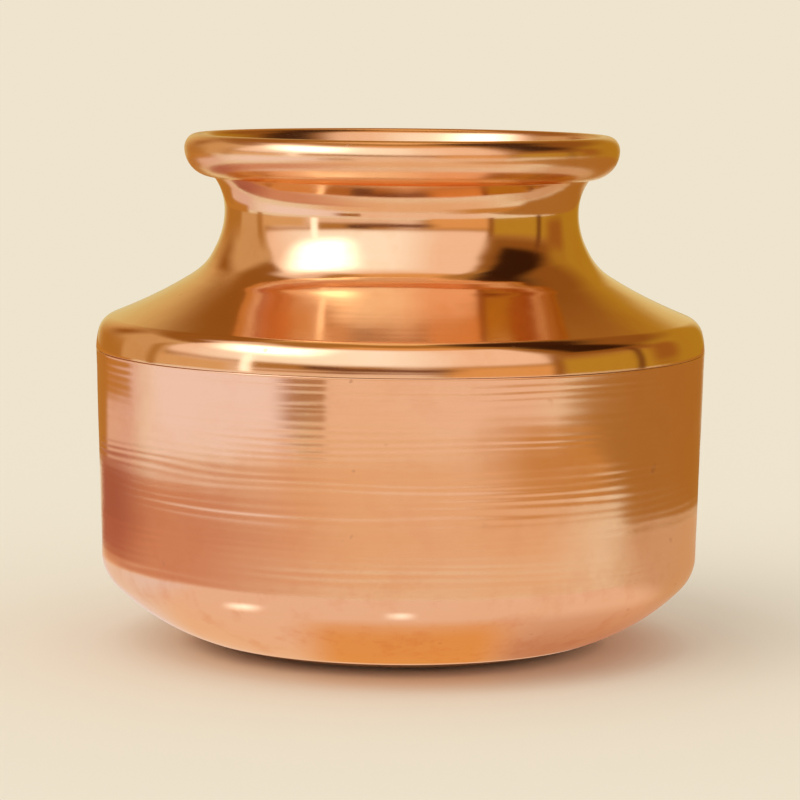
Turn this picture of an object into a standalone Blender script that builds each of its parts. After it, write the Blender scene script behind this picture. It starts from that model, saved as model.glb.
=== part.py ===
# A round cooking pot of coppery brass: two spun shells brazed together at the shoulder,
# a mouth edge rolled round a wire, and a tin lining. Metres, +Z up, origin at the base centre.
import bpy
import math

# Sheet and fits
SHEET = 0.0015
TIN = 0.0004
CLEARANCE = 0.0003

# Lower shell, outside sizes
BASE_FLAT_RADIUS = 0.0453
HEEL_RADIUS = 0.0131
HEEL_TURN = 44.0
BODY_RADIUS = 0.1000
WALL_TAPER = 0.0018
SEAM_HEIGHT = 0.0974
JOGGLE_HEIGHT = 0.0030

# Upper shell, outside sizes
BLEND_RADIUS = 0.0225
BLEND_TURN = 16.0
CORNER_RADIUS = 0.0068
SHOULDER_SLOPE = 26.0
NECK_RADIUS = 0.0581
NECK_CURVE_RADIUS = 0.0261
MOUTH_FLARE = 24.0

# Rolled lip
LIP_RISE = 0.0250
LIP_CROWN_RADIUS = 0.0029
LIP_OVERHANG = 0.0043
LIP_TOP_DROP = 0.0047
LIP_TUCK_DROP = 0.0094
WIRE_RADIUS = 0.0023

# Inside
BRAZE_TURN = 34.0
BRAZE_INSET = 0.0003
TIN_STOP = 10.0

# Facets round the axis and along each curve
STEPS = 48
BASE_FACETS = 5
HEEL_FACETS = 4
BLEND_FACETS = 2
CORNER_FACETS = 4
NECK_FACETS = 9
LIP_FACETS = 4
WIRE_FACETS = 10


def sine(degrees):
    return math.sin(math.radians(degrees))


def cosine(degrees):
    return math.cos(math.radians(degrees))


def oval(center, width, height, start, end, facets):
    # Points on an oval of these half sizes, from one angle to another.
    points = []
    for step in range(facets + 1):
        angle = start + (end - start) * step / facets
        points.append((center[0] + width * cosine(angle), center[1] + height * sine(angle)))
    return points


def arc(center, radius, start, end, facets):
    return oval(center, radius, radius, start, end, facets)


# Centres of the curves, found from the base upwards
wall_foot_radius = BODY_RADIUS - WALL_TAPER
heel_reach = HEEL_RADIUS * cosine(HEEL_TURN)
base_arc_radius = (wall_foot_radius - HEEL_RADIUS + heel_reach - BASE_FLAT_RADIUS) / cosine(HEEL_TURN)
base_center = (BASE_FLAT_RADIUS, base_arc_radius)
heel_center = (
    wall_foot_radius - HEEL_RADIUS,
    base_arc_radius - (base_arc_radius - HEEL_RADIUS) * sine(HEEL_TURN),
)
blend_center = (BODY_RADIUS - BLEND_RADIUS, SEAM_HEIGHT)
corner_center = (
    blend_center[0] + (BLEND_RADIUS - CORNER_RADIUS) * cosine(BLEND_TURN),
    blend_center[1] + (BLEND_RADIUS - CORNER_RADIUS) * sine(BLEND_TURN),
)
shoulder_turn = 90.0 - SHOULDER_SLOPE
corner_top = arc(corner_center, CORNER_RADIUS, shoulder_turn, shoulder_turn, 1)[0]
neck_center_radius = NECK_RADIUS + NECK_CURVE_RADIUS
slope_end_radius = neck_center_radius - NECK_CURVE_RADIUS * cosine(shoulder_turn)
slope_rise = (corner_top[0] - slope_end_radius) * math.tan(math.radians(SHOULDER_SLOPE))
neck_center = (neck_center_radius, corner_top[1] + slope_rise + NECK_CURVE_RADIUS * sine(shoulder_turn))
rim_height = neck_center[1] + LIP_RISE


def base_curve(depth):
    # Base and heel at this depth inside the outer face, from the axis up to the wall.
    base = arc(base_center, base_arc_radius - depth, -90.0, -HEEL_TURN, BASE_FACETS)
    heel = arc(heel_center, HEEL_RADIUS - depth, -HEEL_TURN, 0.0, HEEL_FACETS)
    return [(0.0, depth)] + base + heel[1:]


def blend_curve(depth):
    return arc(blend_center, BLEND_RADIUS - depth, 0.0, BLEND_TURN, BLEND_FACETS)


def corner_curve(depth, start):
    return arc(corner_center, CORNER_RADIUS - depth, start, shoulder_turn, CORNER_FACETS)


def neck_curve(depth, stop):
    # The hollow sweep of the neck, from the shoulder's slope up to this many degrees past its narrowest.
    return arc(neck_center, NECK_CURVE_RADIUS + depth, 180.0 + shoulder_turn, 180.0 - stop, NECK_FACETS)


def neck_radius_at(height):
    # Outside radius of the neck, or of the straight flare above it.
    flare_start = neck_center[1] + NECK_CURVE_RADIUS * sine(MOUTH_FLARE)
    if height > flare_start:
        start_radius = neck_center[0] - NECK_CURVE_RADIUS * cosine(MOUTH_FLARE)
        return start_radius + (height - flare_start) * math.tan(math.radians(MOUTH_FLARE))
    return neck_center[0] - math.sqrt(NECK_CURVE_RADIUS**2 - (height - neck_center[1]) ** 2)


# The lip's crown touches the inner face of the flare, and its widest level lies below the crown
flare_foot = neck_curve(SHEET, MOUTH_FLARE)[-1]
flare_top_height = rim_height - LIP_CROWN_RADIUS * (1.0 - sine(MOUTH_FLARE))
flare_top_radius = flare_foot[0] + (flare_top_height - flare_foot[1]) * math.tan(math.radians(MOUTH_FLARE))
crown_radius = flare_top_radius + LIP_CROWN_RADIUS * cosine(MOUTH_FLARE)
crown_center = (crown_radius, rim_height - LIP_CROWN_RADIUS)
lip_radius = crown_radius + LIP_OVERHANG
lip_level = rim_height - LIP_TOP_DROP
tuck_height = lip_level - LIP_TUCK_DROP
tuck_radius = neck_radius_at(tuck_height) + CLEARANCE
tuck_reach = lip_radius - tuck_radius


def lip_outside():
    inner = arc(crown_center, LIP_CROWN_RADIUS, 180.0 - MOUTH_FLARE, 90.0, LIP_FACETS)
    top = oval((crown_radius, lip_level), LIP_OVERHANG, LIP_TOP_DROP, 90.0, 0.0, LIP_FACETS)
    under = oval((tuck_radius, lip_level), tuck_reach, LIP_TUCK_DROP, 0.0, -90.0, LIP_FACETS + 1)
    return inner + top[1:] + under[1:]


def lip_hollow():
    # The hidden face of the roll, back from the cut edge to the underside of the crown.
    width = tuck_reach - SHEET
    under = oval((tuck_radius, lip_level), width, LIP_TUCK_DROP - SHEET, -90.0, 0.0, LIP_FACETS + 1)
    edge_height = tuck_height + SHEET
    under[0] = (neck_radius_at(edge_height) + CLEARANCE, edge_height)
    top = oval((crown_radius, lip_level), LIP_OVERHANG - SHEET, LIP_TOP_DROP - SHEET, 0.0, 90.0, LIP_FACETS)
    inner = arc(crown_center, LIP_CROWN_RADIUS - SHEET, 90.0, 180.0 - MOUTH_FLARE, LIP_FACETS // 2)
    return under + top[1:] + inner[1:]


def lower_shell_profile():
    inside = base_curve(SHEET)
    inside.append((BODY_RADIUS - SHEET, SEAM_HEIGHT - JOGGLE_HEIGHT - CLEARANCE))
    inside += blend_curve(2.0 * SHEET + CLEARANCE)
    ledge = SEAM_HEIGHT - CLEARANCE
    outside = list(reversed(blend_curve(SHEET + CLEARANCE)))
    outside.append((BODY_RADIUS - SHEET - CLEARANCE, ledge))
    outside.append((BODY_RADIUS, ledge))
    return inside + outside + list(reversed(base_curve(0.0)))


def upper_shell_profile():
    inside = blend_curve(SHEET) + corner_curve(SHEET, BLEND_TURN)[1:] + neck_curve(SHEET, MOUTH_FLARE)
    neck = list(reversed(neck_curve(0.0, MOUTH_FLARE)))
    shoulder = list(reversed(blend_curve(0.0) + corner_curve(0.0, BLEND_TURN)[1:]))
    return inside + lip_outside() + lip_hollow() + neck + shoulder


def seam_braze_profile():
    # A fillet that sits on the lap's top edge and runs up the inside of the corner.
    depth = SHEET + CLEARANCE
    start = BLEND_TURN + math.degrees(CLEARANCE / (CORNER_RADIUS - depth))
    face = arc(corner_center, CORNER_RADIUS - depth, start + BRAZE_TURN, start, CORNER_FACETS)
    edge_radius = BLEND_RADIUS - 2.0 * SHEET - CLEARANCE + BRAZE_INSET
    edge_turn = BLEND_TURN + math.degrees(CLEARANCE / edge_radius)
    return arc(blend_center, edge_radius, edge_turn, edge_turn, 1)[:1] + face


def tin_face(depth):
    # One face of the lining, from the axis up to its edge in the neck.
    lap_depth = SHEET + CLEARANCE + depth
    braze_top = BLEND_TURN + BRAZE_TURN + 2.0 * math.degrees(CLEARANCE / (CORNER_RADIUS - depth))
    face = base_curve(depth)
    face.append((BODY_RADIUS - depth, SEAM_HEIGHT - JOGGLE_HEIGHT - 2.0 * CLEARANCE))
    face += blend_curve(lap_depth)
    face += arc(corner_center, CORNER_RADIUS - depth, braze_top, shoulder_turn, 1)
    return face + neck_curve(depth, TIN_STOP)


def tin_lining_profile():
    return tin_face(SHEET + CLEARANCE + TIN) + list(reversed(tin_face(SHEET + CLEARANCE)))


def wire_seat():
    # The wire lies against the flare's outer face and the inside of the roll.
    radius = lip_radius - SHEET - 2.0 * CLEARANCE - WIRE_RADIUS
    foot = neck_curve(0.0, MOUTH_FLARE)[-1]
    across = (radius - foot[0]) * cosine(MOUTH_FLARE) - WIRE_RADIUS - CLEARANCE
    return (radius, foot[1] + across / sine(MOUTH_FLARE))


def metal(name, color, roughness):
    material = bpy.data.materials.new(name)
    material.use_nodes = True
    shader = material.node_tree.nodes["Principled BSDF"]
    shader.inputs["Base Color"].default_value = (*color, 1.0)
    shader.inputs["Metallic"].default_value = 1.0
    shader.inputs["Roughness"].default_value = roughness
    return material


def turned(name, profile, seat, closed, material, collection, parent):
    # A solid of revolution whose origin lies on the axis at its seat height.
    mesh = bpy.data.meshes.new(name)
    count = len(profile)
    edges = [(i, i + 1) for i in range(count - 1)]
    if closed:
        edges.append((count - 1, 0))
    mesh.from_pydata([(radius, 0.0, height - seat) for radius, height in profile], edges, [])
    mesh.materials.append(material)
    obj = bpy.data.objects.new(name, mesh)
    obj.location = (0.0, 0.0, seat)
    obj.parent = parent
    collection.objects.link(obj)
    screw = obj.modifiers.new("Turn", "SCREW")
    screw.axis = "Z"
    screw.steps = STEPS
    screw.render_steps = STEPS
    screw.use_merge_vertices = True
    screw.merge_threshold = 0.00001
    screw.use_smooth_shade = True
    return obj


def main():
    for obj in list(bpy.data.objects):
        bpy.data.objects.remove(obj)
    collection = bpy.data.collections.new("brass_cooking_pot")
    bpy.context.scene.collection.children.link(collection)
    axis = bpy.data.objects.new("pot_axis", None)
    collection.objects.link(axis)

    wall_brass = metal("satin_brass", (0.84, 0.50, 0.35), 0.28)
    neck_brass = metal("polished_brass", (0.86, 0.52, 0.32), 0.12)
    wire_brass = metal("drawn_wire", (0.70, 0.48, 0.26), 0.40)
    braze = metal("brazing_brass", (0.78, 0.60, 0.32), 0.45)
    tin = metal("wiped_tin", (0.74, 0.73, 0.71), 0.35)

    turned("lower_shell", lower_shell_profile(), 0.0, False, wall_brass, collection, axis)
    turned("upper_shell", upper_shell_profile(), SEAM_HEIGHT, True, neck_brass, collection, axis)
    turned("seam_braze", seam_braze_profile(), SEAM_HEIGHT, True, braze, collection, axis)
    seat = wire_seat()
    wire = arc(seat, WIRE_RADIUS, 180.0, -180.0, WIRE_FACETS)[:-1]
    turned("rim_wire", wire, seat[1], True, wire_brass, collection, axis)
    turned("tin_lining", tin_lining_profile(), SHEET + CLEARANCE, False, tin, collection, axis)


main()
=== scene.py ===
import bpy
import math
from mathutils import Matrix, Vector


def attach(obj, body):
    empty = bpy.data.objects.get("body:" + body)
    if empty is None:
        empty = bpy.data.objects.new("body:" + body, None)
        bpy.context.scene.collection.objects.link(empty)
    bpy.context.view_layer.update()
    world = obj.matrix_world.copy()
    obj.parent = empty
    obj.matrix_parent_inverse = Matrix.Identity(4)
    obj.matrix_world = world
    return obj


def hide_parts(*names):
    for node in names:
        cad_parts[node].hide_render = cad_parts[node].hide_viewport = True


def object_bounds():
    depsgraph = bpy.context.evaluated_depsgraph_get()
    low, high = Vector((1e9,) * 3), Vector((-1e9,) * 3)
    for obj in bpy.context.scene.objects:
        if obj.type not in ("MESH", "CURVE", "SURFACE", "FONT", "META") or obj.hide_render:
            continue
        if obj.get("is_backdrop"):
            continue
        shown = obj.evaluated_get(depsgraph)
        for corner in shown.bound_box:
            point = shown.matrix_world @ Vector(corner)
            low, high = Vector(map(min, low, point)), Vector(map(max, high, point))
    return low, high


# sizes are in metres, angles in degrees

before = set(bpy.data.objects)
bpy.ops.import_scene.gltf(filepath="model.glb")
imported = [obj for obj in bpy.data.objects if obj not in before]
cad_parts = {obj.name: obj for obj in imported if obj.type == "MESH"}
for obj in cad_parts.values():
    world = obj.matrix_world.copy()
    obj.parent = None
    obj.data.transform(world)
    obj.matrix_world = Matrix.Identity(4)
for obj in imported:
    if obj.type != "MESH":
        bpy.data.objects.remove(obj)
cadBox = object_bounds()
print("frame loaded:", ", ".join(sorted(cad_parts)))


# one wire of a node tree; sums written in Python add their Math nodes
class Wire:
    def __init__(self, tree, socket=None):
        self.tree = tree
        self.socket = socket

    # any node: its type, its settings, then the values or wires of its sockets
    def add(self, kind, settings=None, sockets=None, out=0):
        node = self.tree.nodes.new(kind)
        for name, value in (settings or {}).items():
            setattr(node, name, value)
        for key, value in (sockets or {}).items():
            if isinstance(value, Wire):
                self.tree.links.new(value.socket, node.inputs[key])
            else:
                node.inputs[key].default_value = value
        return Wire(self.tree, node.outputs[out])

    # another output of the same node
    def port(self, name):
        return Wire(self.tree, self.socket.node.outputs[name])

    def maths(self, operation, *values):
        return self.add("ShaderNodeMath", {"operation": operation}, dict(enumerate(values)))

    def __add__(self, other):
        return self.maths("ADD", self, other)

    def __radd__(self, other):
        return self.maths("ADD", other, self)

    def __sub__(self, other):
        return self.maths("SUBTRACT", self, other)

    def __rsub__(self, other):
        return self.maths("SUBTRACT", other, self)

    def __mul__(self, other):
        return self.maths("MULTIPLY", self, other)

    def __rmul__(self, other):
        return self.maths("MULTIPLY", other, self)

    def __truediv__(self, other):
        return self.maths("DIVIDE", self, other)

    # 0 up to low, 1 from high on, and a smooth rise between
    def rise(self, low, high):
        settings = {"interpolation_type": "SMOOTHSTEP"}
        sockets = {"Value": self, "From Min": low, "From Max": high}
        return self.add("ShaderNodeMapRange", settings, sockets)

    # noise at this place, where each seed gives another pattern
    def noise(self, seed, scale, detail, roughness=0.5, distortion=0.0):
        sockets = {"Vector": self, "W": seed, "Scale": scale, "Detail": detail,
                   "Roughness": roughness, "Distortion": distortion}
        return self.add("ShaderNodeTexNoise", {"noise_dimensions": "4D"}, sockets)


def opaque(color):
    return (*color, 1.0)


# two colours mixed by a factor; these are the sockets of a colour mix
def tint(factor, first, second):
    sockets = {0: factor, 6: first, 7: second}
    return factor.add("ShaderNodeMix", {"data_type": "RGBA"}, sockets, 2)


def linked(obj):
    bpy.context.scene.collection.objects.link(obj)
    return obj


# camera

cameraValues = {
    "lens": 148.5,
    "sensor": 36.0,
    "target": (0.0, 0.0, 0.0798),
    "distance": 1.091,
    "lookDown": 6.397,
    "roll": 0.5,
}


def makeCamera(values):
    data = bpy.data.cameras.new("camera")
    data.lens = values["lens"]
    data.sensor_width = values["sensor"]
    camera = linked(bpy.data.objects.new("camera", data))
    tilt = math.radians(values["lookDown"])
    back = Vector((0.0, -math.cos(tilt), math.sin(tilt)))
    place = Matrix.Translation(Vector(values["target"]) + back * values["distance"])
    pitch = Matrix.Rotation(math.radians(90.0) - tilt, 4, "X")
    roll = Matrix.Rotation(math.radians(values["roll"]), 4, "Z")
    camera.matrix_world = place @ (pitch @ roll)
    bpy.context.scene.camera = camera


makeCamera(cameraValues)
bpy.context.scene.view_settings.view_transform = "Standard"
print("camera set")


# finishes

def metalMaterial(name):
    material = bpy.data.materials.new(name)
    material.use_nodes = True
    shader = material.node_tree.nodes["Principled BSDF"]
    shader.inputs["Metallic"].default_value = 1.0
    return material, shader


def feed(shader, color, roughness, normal):
    for name, wire in (("Base Color", color), ("Roughness", roughness), ("Normal", normal)):
        wire.tree.links.new(wire.socket, shader.inputs[name])


# what every brass here has; the marks are noise with a scale, a detail and a roughness
brassValues = {
    "streaks": (1.0, 4.0, 0.6),
    "clouds": (22.0, 5.0, 0.55),
    "specks": (160.0, 2.0, 0.5),
    "patches": (75.0, 4.0, 0.62),
    "dents": (55.0, 1.0, 0.5),
    "warmClouds": (0.42, 0.72),
    "warmStreaks": (0.45, 0.8),
    "cloudShare": 0.7,
    "smudgePatches": (0.48, 0.68),
    "smudgeTop": (0.012, 0.045),
    "smudgeDulling": 0.06,
    "stainSpecks": (0.70, 0.76),
    "stainClouds": (0.45, 0.6),
    "stainStrength": 0.6,
    "stainDulling": 0.2,
    "streakDulling": 0.6,
    "cloudDulling": 0.4,
}

satinBrassValues = {
    "color": (0.94, 0.65, 0.46),
    "warmColor": (0.93, 0.61, 0.38),
    "stainColor": (0.52, 0.26, 0.15),
    "edgeTint": (1.0, 0.87, 0.67),
    "roughness": (0.08, 0.15),
    "streakStretch": (7.0, 7.0, 900.0),
    "streakHeight": 0.000003,
    "dentHeight": 0.00010,
    "smudgeColor": (0.84, 0.44, 0.26),
    "smudges": (0.16, 0.60),
    "seed": 3.0,
}

polishedBrassValues = {
    "color": (0.94, 0.66, 0.45),
    "warmColor": (0.93, 0.62, 0.38),
    "stainColor": (0.60, 0.32, 0.17),
    "edgeTint": (1.0, 0.87, 0.62),
    "roughness": (0.075, 0.125),
    "lipWear": 0.11,
    "lipHeights": (0.1510, 0.1545),
    "streakStretch": (9.0, 9.0, 700.0),
    "streakHeight": 0.0000012,
    "dentHeight": 0.00009,
    "smudgeColor": (0.86, 0.50, 0.26),
    "smudges": (0.22, 0.22),
    "seed": 11.0,
}

drawnWireValues = {
    "color": (0.90, 0.55, 0.31),
    "warmColor": (0.80, 0.44, 0.22),
    "stainColor": (0.42, 0.20, 0.10),
    "edgeTint": (1.0, 0.86, 0.66),
    "roughness": (0.16, 0.30),
    "streakStretch": (12.0, 12.0, 1600.0),
    "streakHeight": 0.000005,
    "dentHeight": 0.00002,
    "smudgeColor": (0.70, 0.36, 0.18),
    "smudges": (0.30, 0.30),
    "seed": 21.0,
}

brazingBrassValues = {
    "color": (0.86, 0.56, 0.25),
    "warmColor": (0.74, 0.42, 0.16),
    "stainColor": (0.36, 0.19, 0.09),
    "edgeTint": (1.0, 0.88, 0.66),
    "roughness": (0.22, 0.42),
    "streakStretch": (90.0, 90.0, 260.0),
    "streakHeight": 0.00002,
    "dentHeight": 0.00006,
    "smudgeColor": (0.60, 0.30, 0.12),
    "smudges": (0.40, 0.40),
    "seed": 31.0,
}


# turned brass: fine streaks round the axis, warmer clouds, smudges, a few small stains, shallow dents
def makeBrass(name, values):
    material, shader = metalMaterial(name)
    shader.inputs["Specular Tint"].default_value = opaque(values["edgeTint"])
    common = brassValues
    seed = values["seed"]
    wire = Wire(material.node_tree)
    place = wire.add("ShaderNodeTexCoord", out="Object")
    lines = wire.add("ShaderNodeMapping", None, {"Vector": place, "Scale": values["streakStretch"]})
    streaks = lines.noise(seed, *common["streaks"])
    clouds = place.noise(seed, *common["clouds"])
    specks = place.noise(seed + 1.0, *common["specks"])
    patches = place.noise(seed + 2.0, *common["patches"])
    dents = place.noise(seed + 3.0, *common["dents"])

    # smudges may gather towards the foot
    upper, lower = values["smudges"]
    height = wire.add("ShaderNodeSeparateXYZ", None, {0: place}).port("Z")
    gather = lower + (upper - lower) * height.rise(*common["smudgeTop"])
    smudges = patches.rise(*common["smudgePatches"]) * gather
    stains = specks.rise(*common["stainSpecks"]) * clouds.rise(*common["stainClouds"])
    warm = clouds.rise(*common["warmClouds"]) * common["cloudShare"]
    warm = warm + streaks.rise(*common["warmStreaks"]) * (1.0 - common["cloudShare"])
    color = tint(warm, opaque(values["color"]), opaque(values["warmColor"]))
    color = tint(smudges, color, opaque(values["smudgeColor"]))
    color = tint(stains * common["stainStrength"], color, opaque(values["stainColor"]))

    low, high = values["roughness"]
    roughness = low + (high - low) * (streaks * common["streakDulling"] + clouds * common["cloudDulling"])
    roughness = roughness + stains * common["stainDulling"] + smudges * common["smudgeDulling"]
    if "lipWear" in values:    # handling has dulled the lip
        roughness = roughness + height.rise(*values["lipHeights"]) * values["lipWear"]
    relief = streaks * values["streakHeight"] + dents * values["dentHeight"]
    bump = wire.add("ShaderNodeBump", None, {"Strength": 1.0, "Distance": 1.0, "Height": relief})
    feed(shader, color, roughness, bump)
    return material


satinBrass = makeBrass("satinBrass", satinBrassValues)
polishedBrass = makeBrass("polishedBrass", polishedBrassValues)
drawnWire = makeBrass("drawnWire", drawnWireValues)
brazingBrass = makeBrass("brazingBrass", brazingBrassValues)

wipedTinValues = {
    "color": (0.74, 0.73, 0.71),
    "dullColor": (0.56, 0.54, 0.50),
    "roughness": (0.26, 0.44),
    "wipes": (1.0, 4.0, 0.5, 0.6),    # the last is how far the wipes wander
    "wipeStretch": (60.0, 60.0, 240.0),
    "wipeHeight": 0.00003,
    "clouds": (30.0, 5.0, 0.5),
    "dullClouds": (0.4, 0.7),
    "dullWipes": (0.4, 0.75),
    "cloudShare": 0.6,
    "seed": 5.0,
}


# tin wiped on hot with a rag: soft runs and duller clouds
def makeTin(name, values):
    material, shader = metalMaterial(name)
    wire = Wire(material.node_tree)
    place = wire.add("ShaderNodeTexCoord", out="Object")
    runs = wire.add("ShaderNodeMapping", None, {"Vector": place, "Scale": values["wipeStretch"]})
    wipes = runs.noise(values["seed"], *values["wipes"])
    clouds = place.noise(values["seed"], *values["clouds"])
    dull = clouds.rise(*values["dullClouds"]) * values["cloudShare"]
    dull = dull + wipes.rise(*values["dullWipes"]) * (1.0 - values["cloudShare"])
    color = tint(dull, opaque(values["color"]), opaque(values["dullColor"]))
    low, high = values["roughness"]
    bump = wire.add("ShaderNodeBump", None, {"Distance": values["wipeHeight"], "Height": wipes})
    feed(shader, color, low + (high - low) * wipes, bump)
    return material


wipedTin = makeTin("wipedTin", wipedTinValues)
print("finishes made")


# turned shells; their profiles are (radius, height) points

def oval(center, width, height, start, end, spacing):
    steps = max(2, math.ceil(math.radians(abs(end - start)) * max(width, height) / spacing))
    points = []
    for step in range(steps + 1):
        angle = math.radians(start + (end - start) * step / steps)
        points.append((center[0] + width * math.cos(angle), center[1] + height * math.sin(angle)))
    return points


def arc(center, radius, start, end, spacing):
    return oval(center, radius, radius, start, end, spacing)


# a quarter turn round a sheet's edge
def edgeRun(center, radius, start, fineness=3):
    return arc(center, radius, start, start + 90.0, radius / fineness)


# runs joined end to end by straight stretches, with points no farther apart than the spacing
def joined(runs, spacing):
    points = list(runs[0])
    for run in runs[1:]:
        start = Vector(points[-1])
        end = Vector(run[0])
        steps = max(1, math.ceil((end - start).length / spacing))
        points += [tuple(start.lerp(end, step / steps)) for step in range(1, steps + 1)]
        points += run[1:]
    return points


def backwards(run):
    return list(reversed(run))


# the drifts are noise: bands to the metre, a shift of the seed, detail
latheValues = {
    "axisCalm": 0.012,    # nearer the axis the rings fade out, so that a pole closes in one point
    "pitchDrift": (90.0, 0.0, 1.0),
    "pitchSlip": 2.5,
    "patchDrift": (130.0, 7.0, 1.0),
    "patchRise": (0.40, 0.65),
    "calmStrength": 0.25,
    "swayDrift": (45.0, 19.0, 0.0),
    "mergeDistance": 0.000002,
    "sharpAngle": 50.0,
}

latheInputs = {
    "Profile": "Geometry",
    "Steps": "Int",
    "Ring Pitch": "Float",
    "Ring Depth": "Float",
    "Sway Depth": "Float",
    "Seed": "Float",
    "Finish": "Material",
}


# profile points with what the lathe tree reads: outward direction, length along, ring weight
def profileMesh(name, points, ringWeight):
    last = len(points) - 1
    outward = []
    along = []
    rings = []
    length = 0.0
    for i, point in enumerate(points):
        before = Vector(points[max(i - 1, 0)])
        after = Vector(points[min(i + 1, last)])
        run = (after - before).normalized()
        outward += [run.y, 0.0, -run.x]
        along.append(length)
        length += (after - Vector(point)).length
        rings.append(ringWeight(point, i) * min(1.0, point[0] / latheValues["axisCalm"]))
    mesh = bpy.data.meshes.new(name)
    places = [(radius, 0.0, height) for radius, height in points]
    mesh.from_pydata(places, [(i, i + 1) for i in range(last)], [])
    mesh.attributes.new("outward", "FLOAT_VECTOR", "POINT").data.foreach_set("vector", outward)
    mesh.attributes.new("along", "FLOAT", "POINT").data.foreach_set("value", along)
    mesh.attributes.new("rings", "FLOAT", "POINT").data.foreach_set("value", rings)
    return mesh


# the lathe: turns a profile round the axis and presses shallow tool rings into it
def makeLathe(values):
    tree = bpy.data.node_groups.new("turnedShell", "GeometryNodeTree")
    for name, kind in latheInputs.items():
        tree.interface.new_socket(name, in_out="INPUT", socket_type="NodeSocket" + kind)
    tree.interface.new_socket("Shell", in_out="OUTPUT", socket_type="NodeSocketGeometry")
    wire = Wire(tree)
    given = wire.add("NodeGroupInput", out="Profile")
    steps = given.port("Steps")
    count = wire.add("GeometryNodeAttributeDomainSize", None, {"Geometry": given}, "Point Count")
    grid = wire.add("GeometryNodeMeshGrid", None, {"Vertices X": steps + 1.0, "Vertices Y": count})
    index = wire.add("GeometryNodeInputIndex")
    column = wire.maths("FLOOR", (index + 0.5) / count)
    row = index - column * count
    angle = column / steps * math.tau

    # a value of the profile at this row of the grid
    def sampled(kind, value):
        sockets = {"Geometry": given, "Value": value, "Index": row}
        return wire.add("GeometryNodeSampleIndex", {"data_type": kind}, sockets)

    def stored(kind, name):
        return sampled(kind, wire.add("GeometryNodeInputNamedAttribute", {"data_type": kind}, {"Name": name}))

    position = sampled("FLOAT_VECTOR", wire.add("GeometryNodeInputPosition"))
    point = wire.add("ShaderNodeSeparateXYZ", None, {0: position})
    outward = wire.add("ShaderNodeSeparateXYZ", None, {0: stored("FLOAT_VECTOR", "outward")})
    along = stored("FLOAT", "along")
    rings = stored("FLOAT", "rings")
    across = wire.maths("COSINE", angle)
    ahead = wire.maths("SINE", angle)

    # slow drift of the ring spacing, patches of stronger rings, and a broad sway of the wall
    def drift(bands, shift, detail):
        place = wire.add("ShaderNodeCombineXYZ", None, {0: across, 1: ahead, 2: along * bands})
        return place.noise(given.port("Seed") + shift, 1.0, detail)

    turns = along / given.port("Ring Pitch") + drift(*values["pitchDrift"]) * values["pitchSlip"]
    wave = wire.maths("SINE", turns * math.tau) * 0.5 + 0.5
    strength = values["calmStrength"] + drift(*values["patchDrift"]).rise(*values["patchRise"])
    sway = drift(*values["swayDrift"])
    depth = rings * (given.port("Ring Depth") * wave * strength + given.port("Sway Depth") * sway)
    radius = point.port("X") - outward.port("X") * depth
    height = point.port("Z") - outward.port("Z") * depth
    place = wire.add("ShaderNodeCombineXYZ", None, {0: radius * across, 1: radius * ahead, 2: height})
    shell = wire.add("GeometryNodeSetPosition", None, {"Geometry": grid, "Position": place})
    merge = {"Geometry": shell, "Distance": values["mergeDistance"]}
    shell = wire.add("GeometryNodeMergeByDistance", None, merge)
    shell = wire.add("GeometryNodeSetShadeSmooth", None, {"Geometry": shell})
    shell = wire.add("GeometryNodeRealizeInstances", None, {"Geometry": shell})
    shell = wire.add("GeometryNodeSetMaterial", None, {"Geometry": shell, "Material": given.port("Finish")})
    tree.links.new(shell.socket, tree.nodes.new("NodeGroupOutput").inputs["Shell"])
    return tree


lathe = makeLathe(latheValues)


# a profile turned on the lathe, made a plain mesh and put in its node's place
def turn(name, points, ringWeight, values, finish, node):
    obj = linked(bpy.data.objects.new(name, profileMesh(name, points, ringWeight)))
    modifier = obj.modifiers.new("lathe", "NODES")
    modifier.node_group = lathe
    chosen = {
        "Steps": values["steps"],
        "Ring Pitch": values["ringPitch"],
        "Ring Depth": values["ringDepth"],
        "Sway Depth": values["swayDepth"],
        "Seed": values["seed"],
        "Finish": finish,
    }
    for socket in lathe.interface.items_tree:
        if socket.name in chosen:
            modifier[socket.identifier] = chosen[socket.name]
    mesh = bpy.data.meshes.new_from_object(obj.evaluated_get(bpy.context.evaluated_depsgraph_get()))
    obj.modifiers.clear()
    obj.data = mesh
    mesh.set_sharp_from_angle(angle=math.radians(latheValues["sharpAngle"]))
    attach(obj, "root")
    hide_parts(node)
    print(name, len(mesh.vertices), "points")


shellValues = {
    "sheet": 0.0015,
    "bodyRadius": 0.1000,
    "wallTaper": 0.0018,
    "baseFlat": 0.0453,
    "heelRadius": 0.0131,
    "heelTurn": 44.0,
    "seamHeight": 0.0974,
    "joggleHeight": 0.0030,
    "clearance": 0.0003,
    "blendRadius": 0.0225,
    "blendTurn": 16.0,
    "cornerRadius": 0.0068,
    "shoulderSlope": 26.0,
    "neckRadius": 0.0581,
    "neckCurve": 0.0261,
    "mouthFlare": 24.0,
}


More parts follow.
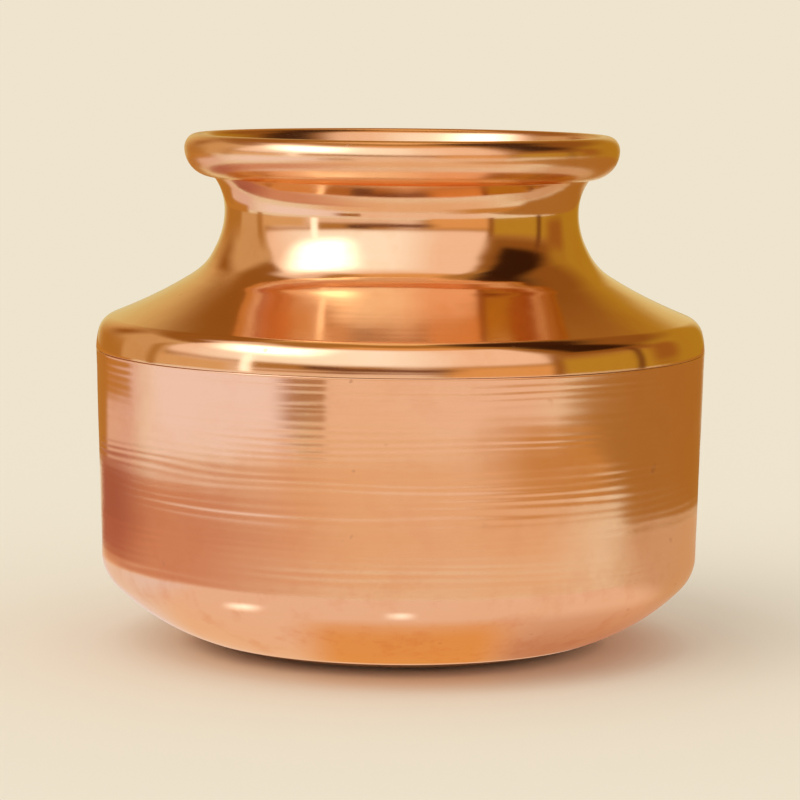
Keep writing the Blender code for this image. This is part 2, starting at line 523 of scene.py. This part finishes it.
# centres of the shells' curves, from the base up
def shellCurves(values):
    heelRadius = values["heelRadius"]
    heelTurn = math.radians(values["heelTurn"])
    foot = values["bodyRadius"] - values["wallTaper"]
    baseReach = foot - heelRadius * (1.0 - math.cos(heelTurn)) - values["baseFlat"]
    baseRadius = baseReach / math.cos(heelTurn)
    heelHeight = baseRadius - (baseRadius - heelRadius) * math.sin(heelTurn)

    cornerRadius = values["cornerRadius"]
    blendTurn = math.radians(values["blendTurn"])
    reach = values["blendRadius"] - cornerRadius
    blend = (values["bodyRadius"] - values["blendRadius"], values["seamHeight"])
    corner = (blend[0] + reach * math.cos(blendTurn), blend[1] + reach * math.sin(blendTurn))

    neckCurve = values["neckCurve"]
    slope = math.radians(values["shoulderSlope"])
    neckCenter = values["neckRadius"] + neckCurve
    slopeRun = corner[0] + cornerRadius * math.sin(slope) - neckCenter + neckCurve * math.sin(slope)
    cornerTop = corner[1] + cornerRadius * math.cos(slope)
    neckHeight = cornerTop + slopeRun * math.tan(slope) + neckCurve * math.cos(slope)
    return {
        "baseRadius": baseRadius,
        "base": (values["baseFlat"], baseRadius),
        "heel": (foot - heelRadius, heelHeight),
        "blend": blend,
        "corner": corner,
        "cornerEnd": 90.0 - values["shoulderSlope"],
        "neck": (neckCenter, neckHeight),
    }


curves = shellCurves(shellValues)


# stretches of the shells' outside, or as far inside it as the depth says

def baseRun(depth, spacing):
    heelTurn = shellValues["heelTurn"]
    base = arc(curves["base"], curves["baseRadius"] - depth, -90.0, -heelTurn, spacing)
    heel = arc(curves["heel"], shellValues["heelRadius"] - depth, -heelTurn, 0.0, spacing)
    return base + heel[1:]


def blendRun(depth, spacing):
    radius = shellValues["blendRadius"] - depth
    return arc(curves["blend"], radius, 0.0, shellValues["blendTurn"], spacing)


def cornerRun(depth, start, spacing, past=0.0):
    radius = shellValues["cornerRadius"] - depth
    return arc(curves["corner"], radius, start, curves["cornerEnd"] + past, spacing)


def neckRun(depth, stop, spacing, past=0.0):
    radius = shellValues["neckCurve"] + depth
    return arc(curves["neck"], radius, 180.0 + curves["cornerEnd"] - past, 180.0 - stop, spacing)


# a slack curve between two runs that keeps their slopes at both ends
def slackRun(before, after, spacing):
    start = Vector(before[-1])
    end = Vector(after[0])
    leave = (start - Vector(before[-2])).normalized()
    arrive = (Vector(after[1]) - end).normalized()
    across = end - start
    reach = (across.x * arrive.y - across.y * arrive.x) / (leave.x * arrive.y - leave.y * arrive.x)
    bend = start + leave * reach
    steps = math.ceil(across.length / spacing)
    shares = [step / steps for step in range(1, steps)]
    return [tuple(start.lerp(bend, share).lerp(bend.lerp(end, share), share)) for share in shares]


lowerShellValues = {
    "steps": 192,
    "baseSpacing": 0.0008,
    "wallSpacing": 0.00026,
    "hiddenSpacing": 0.004,
    "seamGap": 0.00008,
    "edgeRound": 0.0002,
    "ringPitch": 0.0026,
    "ringDepth": 0.000014,
    "swayDepth": 0.00010,
    "baseRings": 0.35,
    "wallRings": 0.7,
    "bandRings": 1.1,
    "ringBands": (0.0360, 0.0560, 0.0645, 0.0905),
    "bandHeight": 0.0045,
    "seed": 4.0,
}


def makeLowerShell(values):
    sheet = shellValues["sheet"]
    body = shellValues["bodyRadius"]
    edge = values["edgeRound"]
    top = shellValues["seamHeight"] - values["seamGap"]
    seat = sheet + shellValues["clearance"]
    joggle = shellValues["seamHeight"] - shellValues["joggleHeight"] - shellValues["clearance"]
    hidden = values["hiddenSpacing"]
    base = joined([[(0.0, 0.0)], baseRun(0.0, values["baseSpacing"])], values["baseSpacing"])
    rounded = edgeRun((body - edge, top - edge), edge, 0.0)
    outside = joined([base, rounded], values["wallSpacing"])
    ledge = [(body - seat, top)] + blendRun(seat, hidden)
    lap = backwards(blendRun(seat + sheet, hidden))
    inside = [(body - sheet, joggle)] + backwards(baseRun(sheet, hidden)) + [(0.0, sheet)]
    points = joined([outside, ledge, lap, inside], hidden)
    wallFoot = curves["heel"][1]

    # stronger rings in a few bands of the wall, weaker ones towards the base
    def ringWeight(point, i):
        if i >= len(outside) - len(rounded):
            return 0.0
        height = point[1]
        bands = sum(math.exp(-((height - band) / values["bandHeight"]) ** 2) for band in values["ringBands"])
        wall = values["wallRings"] + values["bandRings"] * bands
        if height > wallFoot:
            return wall
        return values["baseRings"] + (wall - values["baseRings"]) * max(0.0, height / wallFoot) ** 2

    turn("lowerShell", points, ringWeight, values, satinBrass, "lower_shell")


makeLowerShell(lowerShellValues)

upperShellValues = {
    "steps": 192,
    "faceSpacing": 0.00036,
    "innerSpacing": 0.00072,
    "hiddenSpacing": 0.002,
    "lipRise": 0.0250,
    "crownRadius": 0.0029,
    "overhang": 0.0043,
    "topDrop": 0.0047,
    "tuckDrop": 0.0094,
    "tuckGap": 0.0001,
    "hollowStart": -85.0,
    "upperCurve": 0.0185,
    "slack": 5.5,
    "edgeRound": 0.0002,
    "ringPitch": 0.0030,
    "ringDepth": 0.000004,
    "swayDepth": 0.00008,
    "calmRings": 0.4,
    "footRings": 6.0,
    "footHeights": (0.119, 0.131),
    "plainEnds": (12, 8),    # points without rings at the seam and at the tuck
    "seed": 9.0,
}


def makeUpperShell(values):
    sheet = shellValues["sheet"]
    body = shellValues["bodyRadius"]
    seam = shellValues["seamHeight"]
    flare = shellValues["mouthFlare"]
    lean = math.radians(flare)
    fine = values["faceSpacing"]
    hidden = values["hiddenSpacing"]

    # the inner face of the neck leads into the crown of the lip
    inner = neckRun(sheet, flare, fine)
    footRadius, footHeight = inner[-1]
    rim = curves["neck"][1] + values["lipRise"]
    crownRadius = values["crownRadius"]
    crownFoot = rim - crownRadius * (1.0 - math.sin(lean))
    crown = footRadius + (crownFoot - footHeight) * math.tan(lean) + crownRadius * math.cos(lean)
    level = rim - values["topDrop"]

    # above its narrowest the neck closes tighter, up into the roll
    upperCurve = values["upperCurve"]
    upperCenter = (shellValues["neckRadius"] + upperCurve, curves["neck"][1])
    upperTurn = math.degrees(math.asin((level - values["tuckDrop"] - upperCenter[1]) / upperCurve))
    neck = neckRun(0.0, 0.0, fine, values["slack"])
    neck += arc(upperCenter, upperCurve, 180.0, 180.0 - upperTurn, fine)[1:]
    tuck = neck[-1][0] + values["tuckGap"]

    # the roll from its tuck to its crown, or its hollow a sheet inside
    def rollRun(depth, start, spacing):
        reach = crown + values["overhang"] - tuck
        under = oval((tuck, level), reach - depth, values["tuckDrop"] - depth, start, 0.0, spacing)
        over = oval((crown, level), values["overhang"] - depth, values["topDrop"] - depth, 0.0, 90.0, spacing)
        return under + over[1:]

    edge = values["edgeRound"]
    bottom = [(body - sheet, seam)]
    rounded = edgeRun((body - edge, seam + edge), edge, -90.0)
    shoulder = blendRun(0.0, fine)[1:]
    shoulder += cornerRun(0.0, shellValues["blendTurn"], fine, values["slack"])[1:]
    shoulder += slackRun(shoulder, neck, fine)
    face = joined([bottom, rounded, shoulder, neck], fine)
    hollow = backwards(rollRun(sheet, values["hollowStart"], hidden))
    roll = rollRun(0.0, -90.0, fine)
    mouth = arc((crown, rim - crownRadius), crownRadius, 90.0, 180.0 - flare, fine)[1:]
    corner = blendRun(sheet, hidden) + cornerRun(sheet, shellValues["blendTurn"], hidden)[1:]
    points = joined([face, hollow, roll], hidden) + mouth
    points = joined([points, backwards(inner), backwards(corner), bottom], values["innerSpacing"])
    seamEnd, tuckEnd = values["plainEnds"]
    low, high = values["footHeights"]

    # the tool marks are deepest where the neck rises from the shoulder
    def ringWeight(point, i):
        if not seamEnd < i < len(face) - tuckEnd:
            return 0.0
        share = (point[1] - low) / (high - low)
        if 0.0 < share < 1.0:
            return values["calmRings"] + values["footRings"] * math.sin(math.pi * share) ** 2
        return values["calmRings"]

    turn("upperShell", points, ringWeight, values, polishedBrass, "upper_shell")


makeUpperShell(upperShellValues)

tinLiningValues = {
    "steps": 128,
    "spacing": 0.0012,
    "hiddenSpacing": 0.004,
    "thickness": 0.0004,
    "stop": 10.0,
    "brazeTurn": 34.0,
    "ringPitch": 0.0034,
    "ringDepth": 0.00003,
    "swayDepth": 0.00012,
    "plainEnd": 3,    # points without rings at the top edge
    "seed": 15.0,
}


# one face of the lining, clear of the lap and of the braze
def liningFace(depth, spacing, values):
    gap = 2.0 * shellValues["clearance"]
    joggle = shellValues["seamHeight"] - shellValues["joggleHeight"]
    braze = shellValues["blendTurn"] + values["brazeTurn"]
    start = braze + math.degrees(gap / (shellValues["cornerRadius"] - depth))
    runs = [
        [(0.0, depth)],
        baseRun(depth, spacing),
        [(shellValues["bodyRadius"] - depth, joggle - gap)],
        blendRun(shellValues["sheet"] + shellValues["clearance"] + depth, spacing),
        cornerRun(depth, start, spacing),
        neckRun(depth, values["stop"], spacing),
    ]
    return joined(runs, spacing)


def makeTinLining(values):
    back = shellValues["sheet"] + shellValues["clearance"]
    hidden = liningFace(back, values["hiddenSpacing"], values)
    seen = liningFace(back + values["thickness"], values["spacing"], values)

    def ringWeight(point, i):
        return 1.0 if i > len(hidden) + values["plainEnd"] else 0.0

    turn("tinLining", hidden + backwards(seen), ringWeight, values, wipedTin, "tin_lining")


makeTinLining(tinLiningValues)


# the solids that stay as they are: only their finish changes
def dress(node, finish):
    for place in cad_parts[node].material_slots:
        place.material = finish


dress("rim_wire", drawnWire)
dress("seam_braze", brazingBrass)
print("shells turned, wire and braze dressed")


# stage

stageValues = {
    "floorColor": (0.863, 0.776, 0.617),
    "floorSize": 300.0,
    "skyColor": (1.0, 1.0, 1.0),
    "skyLight": 0.85,
    "keyLight": 0.6325,
    "keySoftness": 50.0,
    "keyDirection": (-0.5, -0.45, 0.75),
}


def makeFloor(values):
    half = values["floorSize"] / 2
    corners = [(-half, -half, 0.0), (half, -half, 0.0), (half, half, 0.0), (-half, half, 0.0)]
    mesh = bpy.data.meshes.new("floor")
    mesh.from_pydata(corners, [], [(0, 1, 2, 3)])
    material = bpy.data.materials.new("paleFloor")
    material.use_nodes = True
    shader = material.node_tree.nodes["Principled BSDF"]
    shader.inputs["Base Color"].default_value = opaque(values["floorColor"])
    shader.inputs["Roughness"].default_value = 1.0
    shader.inputs["Specular IOR Level"].default_value = 0.0
    mesh.materials.append(material)
    linked(bpy.data.objects.new("floor", mesh))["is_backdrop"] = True


# a pale room to look at and to mirror, plain light for the rest
def makeWorld(values):
    world = bpy.data.worlds.new("paleRoom")
    world.use_nodes = True
    tree = world.node_tree
    tree.nodes.clear()
    wire = Wire(tree)
    path = wire.add("ShaderNodeLightPath", out="Is Camera Ray")
    seen = wire.maths("MAXIMUM", path, path.port("Is Glossy Ray"))
    seen = wire.maths("MAXIMUM", seen, path.port("Is Transmission Ray"))
    sky = {"Color": opaque(values["skyColor"]), "Strength": values["skyLight"]}
    room = {"Color": opaque(values["floorColor"]), "Strength": 1.0}
    soft = wire.add("ShaderNodeBackground", None, sky)
    pale = wire.add("ShaderNodeBackground", None, room)
    mixed = wire.add("ShaderNodeMixShader", None, {0: seen, 1: soft, 2: pale})
    tree.links.new(mixed.socket, tree.nodes.new("ShaderNodeOutputWorld").inputs["Surface"])
    bpy.context.scene.world = world


def makeKeyLight(values):
    light = bpy.data.lights.new("keyLight", "SUN")
    light.energy = values["keyLight"]
    light.angle = math.radians(values["keySoftness"])
    lamp = linked(bpy.data.objects.new("keyLight", light))
    lamp.rotation_euler = Vector(values["keyDirection"]).to_track_quat("Z", "Y").to_euler()
    lamp.visible_glossy = False


makeFloor(stageValues)
makeWorld(stageValues)
makeKeyLight(stageValues)
print("stage set")


# plain soft-edged cards, seen only as reflections in the metal
# azimuth 0 is the camera's side, plus is to its right; later cards hang in front of earlier ones
# soft is the share that fades out at the two sides, at the low or near end and at the high or far end
# lean is how far the two sides have turned by the high or far end

cardTones = {
    "white": (1.0, 1.0, 0.97),
    "lilac": (0.84, 0.74, 0.77),
    "pink": (0.8, 0.58, 0.56),
    "peach": (0.88, 0.65, 0.52),
    "apricot": (0.82, 0.55, 0.36),
    "sand": (0.72, 0.63, 0.35),
    "honey": (0.8, 0.5, 0.24),
    "amber": (0.78, 0.41, 0.15),
    "brown": (0.46, 0.22, 0.05),
    "olive": (0.46, 0.27, 0.03),
    "umber": (0.31, 0.12, 0.02),
    "rose": (0.65, 0.32, 0.2),
    "plum": (0.42, 0.15, 0.11),
    "dark": (0.13, 0.04, 0.012),
}

wallCards = {
    "roomWall": {"azimuth": (-180, 180), "elevation": (-16, 62), "tone": "brown", "level": 0.9,
        "soft": (0, 0, 0.05, 0.1)},
    "ceiling": {"azimuth": (-180, 180), "elevation": (52, 128), "tone": "brown", "level": 0.9,
        "soft": (0, 0, 0.1, 0.1)},
    "frontCeiling": {"azimuth": (-70, 66), "elevation": (52, 80), "tone": "amber", "level": 1.0,
        "soft": (0.3, 0.25, 0.2, 0.25)},
    "backGlow": {"azimuth": (140, 236), "elevation": (56, 88), "tone": "honey", "level": 1.1,
        "soft": (0.3, 0.3, 0.2, 0.2)},
    "frontWall": {"azimuth": (-102, 62), "elevation": (8, 66), "tone": "peach", "level": 1.08,
        "soft": (0.06, 0.06, 0.1, 0.12)},
    "whiteWall": {"azimuth": (-98, 32), "elevation": (8, 64), "tone": "white", "level": 1.08,
        "soft": (0.4, 0.35, 0.12, 0.2)},
    "frontLow": {"azimuth": (-100, 22), "elevation": (-8, 11), "tone": "peach", "level": 0.95,
        "soft": (0.15, 0.15, 0.05, 0.25)},
    "leftWall": {"azimuth": (-172, -94), "elevation": (-14, 42), "tone": "honey", "level": 0.8,
        "soft": (0.12, 0.05, 0.1, 0.2)},
    "leftHigh": {"azimuth": (-176, -92), "elevation": (32, 64), "tone": "umber", "level": 1.0,
        "soft": (0.2, 0.1, 0.25, 0.25)},
    "leftGlow": {"azimuth": (-118, -78), "elevation": (44, 66), "tone": "peach", "level": 0.95,
        "soft": (0.35, 0.3, 0.35, 0.3)},
    "leftBack": {"azimuth": (-182, -136), "elevation": (18, 54), "tone": "umber", "level": 0.95,
        "soft": (0.5, 0.5, 0.5, 0.5)},
    "leftPale": {"azimuth": (-188, -146), "elevation": (-14, 38), "tone": "sand", "level": 1.0,
        "soft": (0.5, 0.5, 0.1, 0.6)},
    "leftBrown": {"azimuth": (-166, -122), "elevation": (-14, 18), "tone": "brown", "level": 1.0,
        "soft": (0.5, 0.1, 0.1, 0.55)},
    "rightWall": {"azimuth": (55, 122), "elevation": (-14, 18), "tone": "olive", "level": 1.1,
        "soft": (0.05, 0.15, 0.1, 0.25)},
    "rightHigh": {"azimuth": (52, 172), "elevation": (14, 56), "tone": "umber", "level": 0.9,
        "soft": (0.12, 0.2, 0.2, 0.25)},
    "darkHigh": {"azimuth": (70, 164), "elevation": (44, 86), "tone": "dark", "level": 0.4,
        "soft": (0.2, 0.25, 0.3, 0.3)},
    "oliveWall": {"azimuth": (104, 176), "elevation": (-14, 36), "tone": "olive", "level": 1.0,
        "soft": (0.2, 0.25, 0.1, 0.3)},
    "rightPale": {"azimuth": (156, 188), "elevation": (-8, 24), "tone": "sand", "level": 1.05,
        "soft": (0.35, 0.35, 0.35, 0.35)},
    "rightShade": {"azimuth": (100, 130), "elevation": (-6, 28), "tone": "umber", "level": 1.1,
        "soft": (0.4, 0.4, 0.3, 0.4)},
    "darkFlag": {"azimuth": (64, 112), "elevation": (24, 68), "tone": "dark", "level": 0.3,
        "soft": (0.2, 0.3, 0.15, 0.3)},
    "leftShelf": {"azimuth": (-106, -58), "elevation": (-4, 9), "tone": "honey", "level": 0.9,
        "soft": (0.2, 0.2, 0.25, 0.3)},
    "lowShelf": {"azimuth": (-64, 4), "elevation": (1, 12), "tone": "brown", "level": 0.95,
        "soft": (0.15, 0.25, 0.3, 0.3)},
    "rightShelf": {"azimuth": (12, 62), "elevation": (-10, 12), "tone": "amber", "level": 1.0,
        "soft": (0.2, 0.1, 0.1, 0.3)},
    "darkBox": {"azimuth": (-38, -16), "elevation": (4, 10), "tone": "dark", "level": 0.8,
        "soft": (0.35, 0.35, 0.3, 0.3)},
    "darkStrip": {"azimuth": (-36, 28), "elevation": (2, 8.5), "tone": "dark", "level": 1.3,
        "soft": (0.3, 0.3, 0.35, 0.35)},
    "softBox": {"azimuth": (-70, -24), "elevation": (16, 59), "tone": "white", "level": 3.0,
        "soft": (0.5, 0.4, 0.35, 0.3), "lean": (-46, 4)},
    "lightStrip": {"azimuth": (-60, -53), "elevation": (-4, 22), "tone": "white", "level": 1.5,
        "soft": (0.3, 0.3, 0.1, 0.1)},
    "rightEdge": {"azimuth": (54, 62), "elevation": (-10, 28), "tone": "umber", "level": 1.0,
        "soft": (0.45, 0.45, 0.1, 0.4)},
    "rightPost": {"azimuth": (93, 101), "elevation": (-10, 36), "tone": "dark", "level": 1.2,
        "soft": (0.5, 0.5, 0.1, 0.5)},
    "leftPost": {"azimuth": (-107, -98), "elevation": (-10, 34), "tone": "brown", "level": 0.95,
        "soft": (0.45, 0.45, 0.1, 0.5), "lean": (4, 4)},
    "leftEdge": {"azimuth": (-152, -124), "elevation": (0, 42), "tone": "umber", "level": 1.0,
        "soft": (0.5, 0.5, 0.5, 0.5)},
}

floorCards = {
    "frontFloor": {"azimuth": (-34, 72), "reach": (0.46, 1.2), "tone": "peach", "level": 1.0,
        "soft": (0.1, 0.3, 0.15, 0.1)},
    "pinkFloor": {"azimuth": (-148, -96), "reach": (0.34, 1.1), "tone": "pink", "level": 0.97,
        "soft": (0.15, 0.4, 0.1, 0.2)},
    "brightFloor": {"azimuth": (-114, -30), "reach": (0.38, 1.1), "tone": "lilac", "level": 1.1,
        "soft": (0.28, 0.12, 0.2, 0.2)},
    "farLeft": {"azimuth": (-180, -112), "reach": (0.64, 1.75), "tone": "brown", "level": 1.15,
        "soft": (0.15, 0.08, 0.1, 0.03)},
    "leftStrip": {"azimuth": (-180, -135), "reach": (0.42, 1.1), "tone": "brown", "level": 1.05,
        "soft": (0.2, 0.12, 0.1, 0.1)},
    "frontMat": {"azimuth": (-70, 80), "reach": (0.17, 0.54), "tone": "apricot", "level": 1.0,
        "soft": (0.25, 0.25, 0.3, 0.3)},
    "brownMat": {"azimuth": (17, 165), "reach": (0.36, 0.58), "tone": "brown", "level": 1.25,
        "soft": (0.22, 0.25, 0.2, 0.15)},
    "brownNear": {"azimuth": (83, 172), "reach": (0.27, 0.6), "tone": "brown", "level": 0.92,
        "soft": (0.1, 0.2, 0.25, 0.1), "lean": (-23, 0)},
    "brownFar": {"azimuth": (52, 172), "reach": (0.56, 1.75), "tone": "brown", "level": 0.92,
        "soft": (0.03, 0.2, 0.02, 0.03), "lean": (100, 0)},
    "roseFloor": {"azimuth": (-150, -6), "reach": (0.17, 0.34), "tone": "rose", "level": 1.0,
        "soft": (0.2, 0.45, 0.2, 0.2)},
    "redFloor": {"azimuth": (-152, -84), "reach": (0.2, 0.34), "tone": "plum", "level": 1.05,
        "soft": (0.28, 0.5, 0.3, 0.3)},
    "paleRing": {"azimuth": (-180, 180), "reach": (0.02, 0.22), "tone": "peach", "level": 0.98,
        "soft": (0, 0, 0, 0.2)},
    "paleLeft": {"azimuth": (-150, -55), "reach": (0.06, 0.2), "tone": "lilac", "level": 1.0,
        "soft": (0.25, 0.25, 0.2, 0.2)},
    "paleRight": {"azimuth": (62, 170), "reach": (0.07, 0.32), "tone": "apricot", "level": 0.8,
        "soft": (0.25, 0.25, 0.15, 0.15)},
    "nearRight": {"azimuth": (4, 150), "reach": (0.0, 0.112), "tone": "rose", "level": 0.85,
        "soft": (0.25, 0.3, 0, 0.4)},
    "glow": {"azimuth": (-28, 32), "reach": (0.0, 0.105), "tone": "amber", "level": 1.02,
        "soft": (0.25, 0.25, 0, 0.2)},
    "frontBox": {"azimuth": (-46, -25), "reach": (0.53, 0.88), "tone": "umber", "level": 1.2,
        "soft": (0.5, 0.04, 0.25, 0.1)},
    "footShade": {"azimuth": (-180, 180), "reach": (0.0, 0.058), "tone": "brown", "level": 0.8,
        "soft": (0, 0, 0, 0.4)},
    "glintLeft": {"azimuth": (-44, -30), "reach": (0.1, 0.122), "tone": "white", "level": 1.5,
        "soft": (0.5, 0.5, 0.5, 0.5)},
    "glintFront": {"azimuth": (-4, 5), "reach": (0.1, 0.118), "tone": "white", "level": 1.3,
        "soft": (0.5, 0.5, 0.5, 0.5)},
}

lowCards = {
    "roseBoard": {"azimuth": (-150, -8), "height": (-0.016, 0.031), "tone": "rose", "level": 0.97,
        "soft": (0.2, 0.45, 0.3, 0.3)},
    "redBoard": {"azimuth": (-152, -84), "height": (-0.016, 0.037), "tone": "plum", "level": 0.95,
        "soft": (0.28, 0.55, 0.3, 0.3)},
}

cardSet = {
    "center": (0.0, 0.0, 0.1),
    "wallReach": 1.7,
    "wallStep": 0.02,
    "floorLift": 0.002,
    "floorStep": 0.0002,
    "lowReach": 0.30,
    "lowStep": 0.005,
    "columns": 48,
    "rows": 12,
}


def cardMaterial(name, values):
    material = bpy.data.materials.new(name)
    material.use_nodes = True
    tree = material.node_tree
    tree.nodes.clear()
    wire = Wire(tree)
    place = wire.add("ShaderNodeSeparateXYZ", None, {0: wire.add("ShaderNodeTexCoord", out="UV")})
    sides = (place.port("X"), 1.0 - place.port("X"), place.port("Y"), 1.0 - place.port("Y"))
    mask = 1.0
    for inset, soft in zip(sides, values["soft"]):
        if soft:
            mask = inset.rise(0.0, soft) * mask
    sockets = {"Color": opaque(cardTones[values["tone"]]), "Strength": values["level"]}
    glow = wire.add("ShaderNodeEmission", None, sockets)
    clear = wire.add("ShaderNodeBsdfTransparent")
    mixed = wire.add("ShaderNodeMixShader", None, {0: mask, 1: clear, 2: glow})
    tree.links.new(mixed.socket, tree.nodes.new("ShaderNodeOutputMaterial").inputs["Surface"])
    return material


def makeCard(name, values, pointAt):
    columns = cardSet["columns"]
    rows = cardSet["rows"]
    points = []
    shares = []
    for column in range(columns + 1):
        for row in range(rows + 1):
            share = (column / columns, row / rows)
            shares.append(share)
            points.append(pointAt(*share))
    faces = []
    for column in range(columns):
        for row in range(rows):
            corner = column * (rows + 1) + row
            faces.append((corner, corner + 1, corner + rows + 2, corner + rows + 1))
    mesh = bpy.data.meshes.new(name)
    mesh.from_pydata(points, [], faces)
    places = mesh.uv_layers.new(name="UVMap")
    for loop in mesh.loops:
        places.data[loop.index].uv = shares[loop.vertex_index]
    mesh.materials.append(cardMaterial(name, values))
    card = linked(bpy.data.objects.new(name, mesh))
    card.visible_camera = False
    card.visible_diffuse = False
    card.visible_shadow = False
    card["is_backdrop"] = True


def between(ends, share):
    return ends[0] + (ends[1] - ends[0]) * share


# azimuth at a place on a card whose sides may lean
def bearing(values, across, along):
    lean = values.get("lean", (0, 0))
    ends = [side + shift * along for side, shift in zip(values["azimuth"], lean)]
    return math.radians(between(ends, across))


# three ways to place a card: on a dome round the pot, on the floor, on a low drum

def onDome(values, order):
    radius = cardSet["wallReach"] - order * cardSet["wallStep"]
    x, y, z = cardSet["center"]

    def pointAt(across, along):
        azimuth = bearing(values, across, along)
        elevation = math.radians(between(values["elevation"], along))
        reach = radius * math.cos(elevation)
        side = x + reach * math.sin(azimuth)
        ahead = y - reach * math.cos(azimuth)
        return (side, ahead, z + radius * math.sin(elevation))

    return pointAt


def onFloor(values, order):
    lift = cardSet["floorLift"] + order * cardSet["floorStep"]

    def pointAt(across, along):
        azimuth = bearing(values, across, along)
        reach = between(values["reach"], along)
        return (reach * math.sin(azimuth), -reach * math.cos(azimuth), lift)

    return pointAt


def onDrum(values, order):
    reach = cardSet["lowReach"] - order * cardSet["lowStep"]

    def pointAt(across, along):
        azimuth = bearing(values, across, along)
        return (reach * math.sin(azimuth), -reach * math.cos(azimuth), between(values["height"], along))

    return pointAt


for cards, placeOn in ((wallCards, onDome), (floorCards, onFloor), (lowCards, onDrum)):
    for order, (name, values) in enumerate(cards.items()):
        makeCard(name, values, placeOn(values, order))
print("cards hung")

[[list(corner) for corner in box] for box in (cadBox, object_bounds())]
